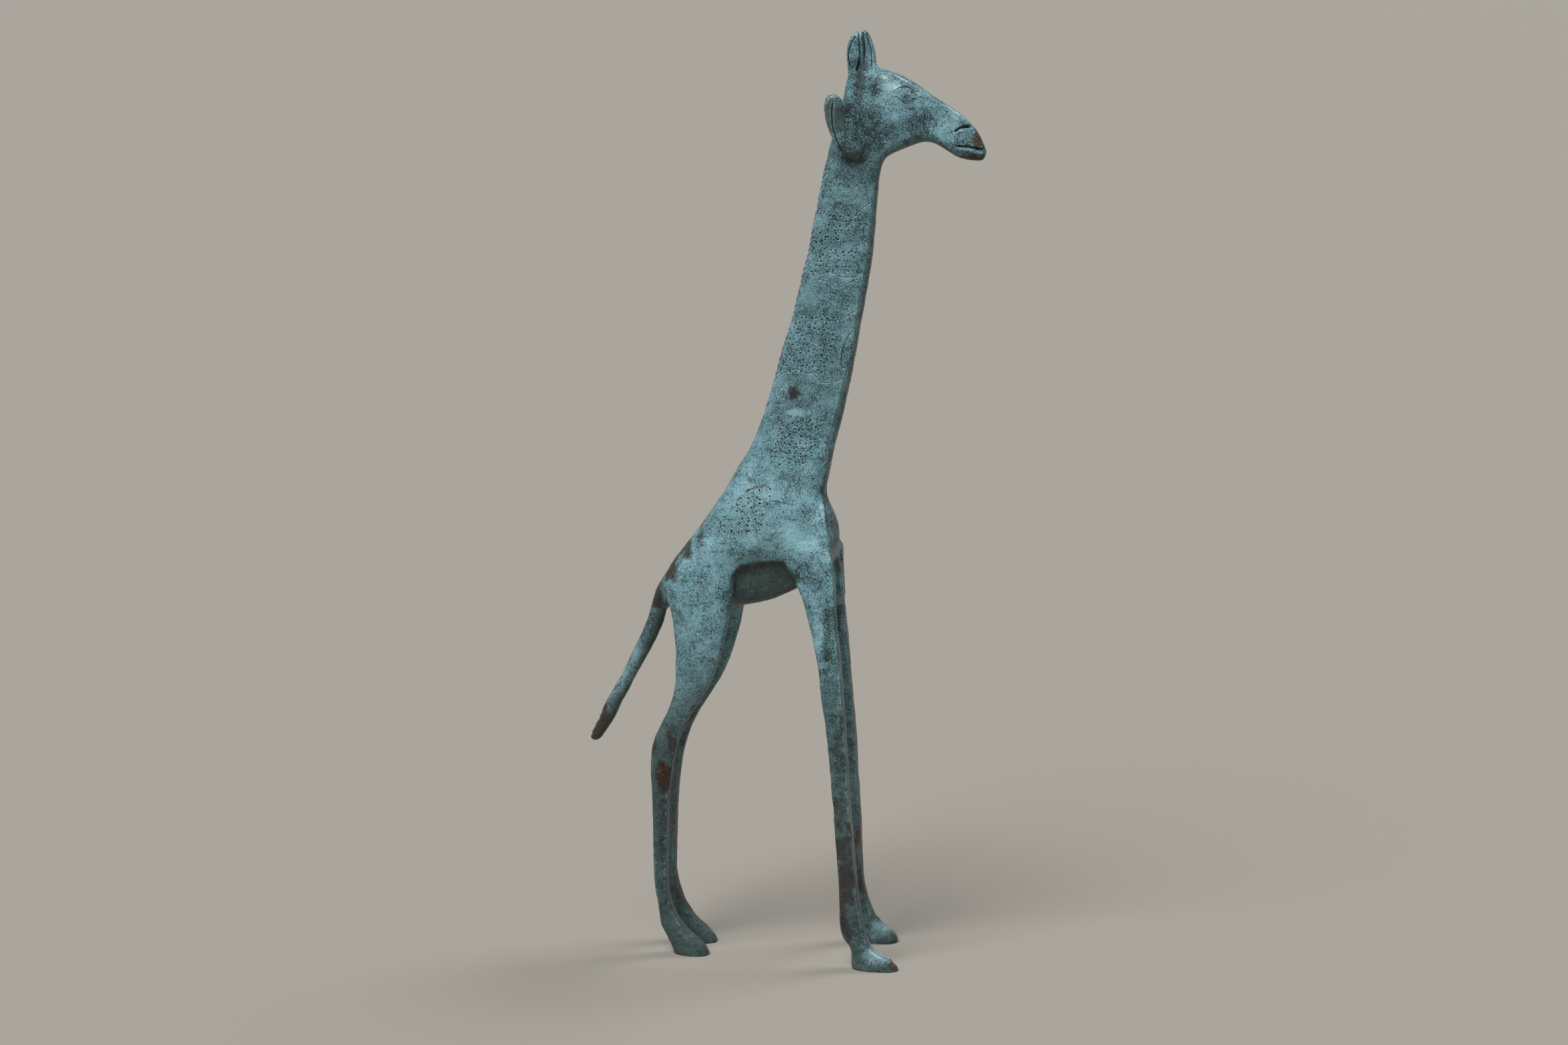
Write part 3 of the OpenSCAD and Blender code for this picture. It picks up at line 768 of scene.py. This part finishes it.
def stain_all(relief):
    """Patches of darker patina and painted shade, bare metal, pale verdigris, painted highlights and
    polish.
    """
    stain_zones(relief)
    for stain_region in (stain_head, stain_neck, stain_body, stain_tail, stain_front_legs, stain_hind_legs):
        stain_region(relief.stain)


# ---------------------------------------------------------------------------------------- the cast

FINE_RELIEF = 0.08                  # the skin is refined where the relief is higher or deeper than this


def build_skin():
    """The worked skin as one mesh, each face labelled with its solid."""
    solids = {name: solid_of(name) for name in frame["nodes"]}
    fields = {name: Field(*solid) for name, solid in solids.items()}
    points, quads = skin_of(fused_field(solids, fields))
    mesh = mesh_from(points, quads, "skin")
    mesh.attributes.new("piece", "INT", "FACE").data.foreach_set("value", labels_of(points, quads, fields))
    mesh = subdivided(mesh)

    scout = Relief(read(mesh.vertices, "co", 3).astype(float) / MM, read(mesh.vertex_normals, "vector", 3))
    ornament(scout)
    refine(mesh, np.abs(scout.height) > FINE_RELIEF)

    relief = Relief(read(mesh.vertices, "co", 3).astype(float) / MM, read(mesh.vertex_normals, "vector", 3))
    ornament(relief)
    sharpen_edges(relief)
    stain_all(relief)
    tuck_belly(relief)
    cast_grain(relief)
    points = relief.points + relief.normals * relief.height[:, None]
    points[:, 2] = np.maximum(points[:, 2], 0)
    mesh.vertices.foreach_set("co", (points * MM).astype(np.float32).ravel())
    mesh.update()

    masks = {name: relief.masks[name] for name in MASKS}
    masks.update(shape_masks(mesh, points))
    return mesh, masks, list(fields)


def ornament(relief):
    """All the tool marks."""
    work_neck(relief)
    work_body(relief)
    work_head(relief)
    work_horns_and_ears(relief)
    work_tail(relief)
    work_feet(relief)


def shape_masks(mesh, points):
    """How far each vertex stands out of the skin around it, or lies below it."""
    edges = read(mesh.edges, "vertices", 2, np.int32)
    normals = read(mesh.vertex_normals, "vector", 3)
    around = points
    for _ in range(10):
        around = (around + neighbour_mean(around, edges, len(points))) / 2
    proud = np.einsum("ij,ij->i", points - around, normals)
    return {"edge": fade(proud, 0.02, 0.12), "hollow": fade(-proud, 0.015, 0.10)}


def cut_piece(mesh, masks, chosen, name):
    """One closed piece from the chosen faces of the skin, shaded as part of the whole."""
    points, normals = read(mesh.vertices, "co", 3), read(mesh.vertex_normals, "vector", 3)
    faces = [tuple(mesh.polygons[i].vertices) for i in np.nonzero(chosen)[0]]
    used = np.unique(np.fromiter(itertools.chain.from_iterable(faces), int))
    place = np.full(len(points), -1)
    place[used] = np.arange(len(used))
    faces = [tuple(place[v] for v in f) for f in faces]
    points, normals = points[used], normals[used]
    masks = {key: value[used] for key, value in masks.items()}

    following = {}
    sides = {(f[i - 1], f[i]) for f in faces for i in range(len(f))}
    for a, b in sides:
        if (b, a) not in sides:
            following.setdefault(b, []).append(a)
    caps, hubs = [], []
    while following:
        start = next(iter(following))
        loop, here = [], start
        while here in following:
            loop.append(here)
            onward = following[here].pop()
            if not following[here]:
                del following[here]
            here = onward
        hub = len(points) + len(hubs)
        hubs.append(points[loop].mean(axis=0))
        caps += [(loop[i - 1], loop[i], hub) for i in range(len(loop))]

    piece = bpy.data.meshes.new(name)
    everything = np.vstack([points] + hubs) if hubs else points
    piece.from_pydata(everything.tolist(), [], faces + caps)
    piece.polygons.foreach_set("use_smooth", np.ones(len(piece.polygons), bool))
    for key, value in masks.items():
        full = np.zeros(len(everything), np.float32)
        full[:len(value)] = value
        piece.attributes.new(key, "FLOAT", "POINT").data.foreach_set("value", full)
    shading = np.vstack([normals] + [(0, 0, 0)] * len(hubs)) if hubs else normals
    piece.normals_split_custom_set_from_vertices(shading.tolist())
    return bpy.data.objects.new(name, piece)


# --------------------------------------------------------------------------------------- materials

class Paint:
    """A short way to write a node tree."""

    def __init__(self, name):
        self.material = bpy.data.materials.new(name)
        self.material.use_nodes = True
        self.tree = self.material.node_tree
        self.shader = self.tree.nodes["Principled BSDF"]
        self.place = self.node("ShaderNodeTexCoord").outputs["Object"]

    @classmethod
    def of_tree(cls, tree, shader):
        """The same, for a node tree that is already there."""
        made = cls.__new__(cls)
        made.tree, made.shader = tree, tree.nodes[shader]
        return made

    def node(self, kind, **settings):
        made = self.tree.nodes.new(kind)
        for key, value in settings.items():
            setattr(made, key, value)
        return made

    def feed(self, socket, value):
        if isinstance(value, bpy.types.NodeSocket):
            self.tree.links.new(value, socket)
        else:
            socket.default_value = value

    def noise(self, size, detail=4.0, roughness=0.6, stretch=(1, 1, 1)):
        """Noise whose features are about size millimetres across."""
        spread = self.node("ShaderNodeMapping")
        self.feed(spread.inputs["Vector"], self.place)
        spread.inputs["Scale"].default_value = stretch
        made = self.node("ShaderNodeTexNoise")
        self.feed(made.inputs["Vector"], spread.outputs["Vector"])
        made.inputs["Scale"].default_value = 1 / (size * MM)
        made.inputs["Detail"].default_value = detail
        made.inputs["Roughness"].default_value = roughness
        return made.outputs["Fac"]

    def mask(self, name):
        return self.node("ShaderNodeAttribute", attribute_name=name).outputs["Fac"]

    def between(self, value, low, high, start=0.0, end=1.0):
        """A value's range moved from low..high to start..end, softly and clamped."""
        made = self.node("ShaderNodeMapRange", interpolation_type="SMOOTHSTEP")
        for socket, given in zip(made.inputs, (value, low, high, start, end)):
            self.feed(socket, given)
        return made.outputs["Result"]

    def math(self, operation, a, b):
        made = self.node("ShaderNodeMath", operation=operation)
        self.feed(made.inputs[0], a)
        self.feed(made.inputs[1], b)
        return made.outputs["Value"]

    def mix(self, share, a, b):
        """Colour a where share is 0 and colour b where it is 1."""
        made = self.node("ShaderNodeMix", data_type="RGBA")
        for socket, given in zip((made.inputs[0], made.inputs[6], made.inputs[7]), (share, a, b)):
            self.feed(socket, given)
        return made.outputs[2]

    def ragged(self, mask, noise):
        """A soft mask turned into a blot with a torn edge."""
        return self.between(self.math("ADD", mask, noise), 0.75, 1.35)

    def bump(self, height, distance, below=None):
        made = self.node("ShaderNodeBump")
        made.inputs["Strength"].default_value = 1.0
        made.inputs["Distance"].default_value = distance * MM
        self.feed(made.inputs["Height"], height)
        if below is not None:
            self.feed(made.inputs["Normal"], below)
        return made.outputs["Normal"]


def rgb(red, green, blue):
    """A shader colour from one in sRGB, 0 to 255."""
    def linear(value):
        value /= 255
        return value / 12.92 if value <= 0.04045 else ((value + 0.055) / 1.055) ** 2.4
    return (linear(red), linear(green), linear(blue), 1.0)


VERDIGRIS = rgb(90, 142, 157)
# A pale verdigris, also the colour of painted highlights
VERDIGRIS_PALE_AND_HIGHLIGHT = rgb(164, 212, 226)
VERDIGRIS_DEEP = rgb(42, 72, 77)
SPECKLE = rgb(13, 28, 32)
OLIVE = rgb(51, 62, 51)
# A dark teal for painted shade and for deep patina
DEEP_PATINA_AND_SHADE = rgb(22, 34, 36)
STAIN = rgb(36, 28, 30)
BARE = rgb(110, 72, 46)
BARE_DARK = rgb(38, 28, 24)
PIT = rgb(9, 12, 11)


def patinated_bronze(name):
    """Bronze under verdigris, with dark speckle, stains, bare metal where it is handled, and painted shade
    and highlights from the masks.
    """
    p = Paint(name)
    cloud = p.between(p.noise(11.0, 3.0), 0.4, 0.6)
    drift = p.noise(4.5, 3.0, 0.6)
    mottle = p.noise(1.3, 4.0, 0.65)
    streak = p.noise(1.7, 4.0, 0.6, (1.0, 1.0, 0.35))
    grain = p.noise(0.28, 3.0, 0.7)

    colour = p.mix(p.math("MULTIPLY", cloud, 0.2), VERDIGRIS, OLIVE)
    colour = p.mix(p.between(mottle, 0.38, 0.66, 0.0, 0.25), colour, VERDIGRIS_PALE_AND_HIGHLIGHT)
    colour = p.mix(p.between(drift, 0.52, 0.36, 0.0, 0.25), colour, VERDIGRIS_PALE_AND_HIGHLIGHT)
    colour = p.mix(p.between(grain, 0.46, 0.3, 0.0, 0.85), colour, VERDIGRIS_PALE_AND_HIGHLIGHT)
    # The olive mask also carries painted shade under the body, on the neck's sides and on the tail's front
    colour = p.mix(p.math("MULTIPLY", p.mask("olive"), 0.85), colour, OLIVE)
    # The pale mask brings in paler verdigris, and painted light and highlights on the cheek, brow and nose
    colour = p.mix(p.math("MULTIPLY", p.mask("pale"), 0.6), colour, VERDIGRIS_PALE_AND_HIGHLIGHT)
    colour = p.mix(p.math("MULTIPLY", p.mask("edge"), 0.4), colour, VERDIGRIS_PALE_AND_HIGHLIGHT)

    density = p.math("ADD", grain, p.between(mottle, 0.35, 0.65, 0.0, 0.12))
    density = p.math("ADD", density, p.between(drift, 0.35, 0.65, 0.0, 0.08))
    # The shade mask is painted shade, with some deep patina on the legs: it thickens the speckle
    density = p.math("ADD", density, p.math("MULTIPLY", p.mask("shade"), 0.15))
    density = p.math("ADD", density, p.math("MULTIPLY", p.mask("hollow"), 0.14))
    density = p.math("SUBTRACT", density, p.math("MULTIPLY", p.mask("pale"), 0.12))
    colour = p.mix(p.between(density, 0.52, 0.68, 0.0, 0.8), colour, VERDIGRIS_DEEP)
    colour = p.mix(p.between(density, 0.64, 0.76, 0.0, 0.95), colour, SPECKLE)
    # Painted shade, with deep patina on the legs, mixed in as a dark teal
    colour = p.mix(p.math("MULTIPLY", p.mask("shade"), 0.5), colour, DEEP_PATINA_AND_SHADE)

    dark_share = p.ragged(p.mask("dark"), streak)
    colour = p.mix(p.math("MULTIPLY", dark_share, 0.9), colour, STAIN)
    worn_share = p.ragged(p.mask("worn"), streak)
    bare = p.mix(p.between(grain, 0.42, 0.58), BARE, BARE_DARK)
    colour = p.mix(p.math("MULTIPLY", worn_share, 0.8), colour, bare)
    colour = p.mix(p.math("MULTIPLY", p.mask("pit"), 0.95), colour, PIT)
    p.feed(p.shader.inputs["Base Color"], colour)

    metal = p.math("ADD", p.math("MULTIPLY", worn_share, 0.5), p.math("MULTIPLY", dark_share, 0.2))
    p.feed(p.shader.inputs["Metallic"], metal)
    rough = p.between(grain, 0.35, 0.65, 0.34, 0.5)
    polish = p.math("ADD", p.math("MULTIPLY", p.mask("gloss"), 0.14),
                    p.math("MULTIPLY", worn_share, 0.06))
    wax = p.math("ADD", p.math("MULTIPLY", p.mask("gloss"), 0.9), 0.1)
    p.feed(p.shader.inputs["Coat Weight"], wax)
    p.shader.inputs["Coat Roughness"].default_value = 0.17
    p.feed(p.shader.inputs["Roughness"], p.math("SUBTRACT", rough, polish))
    p.shader.inputs["Specular IOR Level"].default_value = 0.5

    rough_ground = p.bump(grain, 0.12)
    p.feed(p.shader.inputs["Normal"], p.bump(mottle, 0.18, rough_ground))
    return p.material


# ----------------------------------------------------------------------------------- studio, view

def aim(thing, place):
    """Puts a camera or a light at a place, in metres, and points it at the target."""
    thing.location = place
    thing.rotation_euler = (Vector(TARGET) - Vector(place)).to_track_quat("-Z", "Y").to_euler()
    bpy.context.scene.collection.objects.link(thing)


def soft_sun(name, place, strength, spread):
    """Even light from the direction of a place, as if from a softbox spread degrees wide."""
    light = bpy.data.lights.new(name, "SUN")
    light.energy = strength
    light.angle = math.radians(spread)
    light.color = (1.0, 0.99, 0.97)
    aim(bpy.data.objects.new(name, light), place)


TARGET = (0.0, 0.0, 0.1043)         # what the camera and the lights point at, in metres
FLOOR = rgb(153, 149, 142)
FLOOR_SIZE = 40.0
SURROUND = rgb(172, 168, 159)
CEILING = rgb(92, 92, 91)
SUNS = (                            # name, where its light comes from, strength, width in degrees
    ("overhead", (-0.3, -0.6, 1.1), 3.0, 35),
    ("rim", (0.35, 0.3, 0.85), 1.1, 24),
)
AZIMUTH, ELEVATION = math.radians(10), math.radians(11)
DISTANCE = 1.0027                   # from the camera to the target, in metres
LENS, SENSOR = 98.07, 36.0


def make_studio():
    """A pale floor, a surround of its tone up to the horizon, and broad soft light from above."""
    bpy.context.scene.view_settings.view_transform = "Standard"
    bpy.ops.mesh.primitive_plane_add(size=FLOOR_SIZE)
    floor = bpy.context.object
    floor.name = "floor"
    p = Paint("pale_floor")
    p.shader.inputs["Base Color"].default_value = FLOOR
    p.shader.inputs["Roughness"].default_value = 0.95
    floor.data.materials.append(p.material)

    world = bpy.data.worlds.new("surround")
    world.use_nodes = True
    p = Paint.of_tree(world.node_tree, "Background")
    height = p.node("ShaderNodeSeparateXYZ")
    p.feed(height.inputs[0], p.node("ShaderNodeTexCoord").outputs["Generated"])
    p.feed(p.shader.inputs["Color"],
           p.mix(p.between(height.outputs["Z"], 0.18, 0.4), SURROUND, CEILING))
    bpy.context.scene.world = world

    for name, place, strength, spread in SUNS:
        soft_sun(name, place, strength, spread)


def make_camera():
    """The camera looks at the animal's right side, slightly from the front and from above."""
    back = Vector((math.sin(AZIMUTH) * math.cos(ELEVATION), -math.cos(AZIMUTH) * math.cos(ELEVATION),
                   math.sin(ELEVATION)))
    lens = bpy.data.cameras.new("camera")
    lens.lens, lens.sensor_width = LENS, SENSOR
    lens.clip_start, lens.clip_end = 0.01, 20.0
    camera = bpy.data.objects.new("camera", lens)
    aim(camera, Vector(TARGET) + back * DISTANCE)
    bpy.context.scene.camera = camera


# -------------------------------------------------------------------------------------------- all

def main():
    """The studio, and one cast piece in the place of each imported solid."""
    make_camera()
    make_studio()
    materials = {m["slot"]: patinated_bronze(m["slot"]) for m in frame["record"]["materials"]}
    slots = {part["node"]: part["material_slot"] for part in frame["record"]["subparts"]}
    skin, masks, names = build_skin()
    label = read(skin.attributes["piece"].data, "value", 1, np.int32)
    for index, node in enumerate(names):
        piece = cut_piece(skin, masks, label == index, node + "_cast")
        bpy.context.scene.collection.objects.link(piece)
        piece.data.materials.append(materials[slots[node]])
        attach(piece, "root")
        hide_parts(node)


main()
